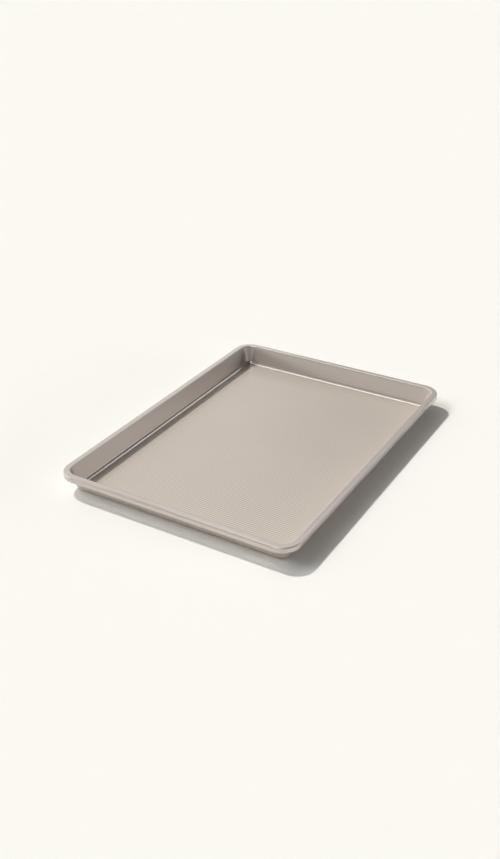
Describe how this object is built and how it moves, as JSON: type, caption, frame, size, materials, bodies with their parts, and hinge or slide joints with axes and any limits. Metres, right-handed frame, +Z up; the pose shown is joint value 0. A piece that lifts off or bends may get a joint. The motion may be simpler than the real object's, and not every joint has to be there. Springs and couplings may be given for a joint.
{
  "type": "jelly roll pan",
  "caption": "Shallow rectangular baking pan with flared walls, rounded corners, a square-rolled rim closed on a steel wire, and a finely textured non-stick floor.",
  "frame": {"origin": "centre of the pan's underside, on the surface that it stands on", "axes": "+X along the short side, +Y along the long side, +Z up out of the pan's mouth"},
  "size_m": [0.3302, 0.4572, 0.0268],
  "materials": {
    "pan_shell": "satin metallic non-stick coating, warm champagne grey, on aluminised steel sheet",
    "rim_wire": "galvanised drawn steel wire"
  },
  "bodies": {
    "root": {"pan_shell": "pan_shell", "rim_wire": "rim_wire"}
  },
  "joints": []
}
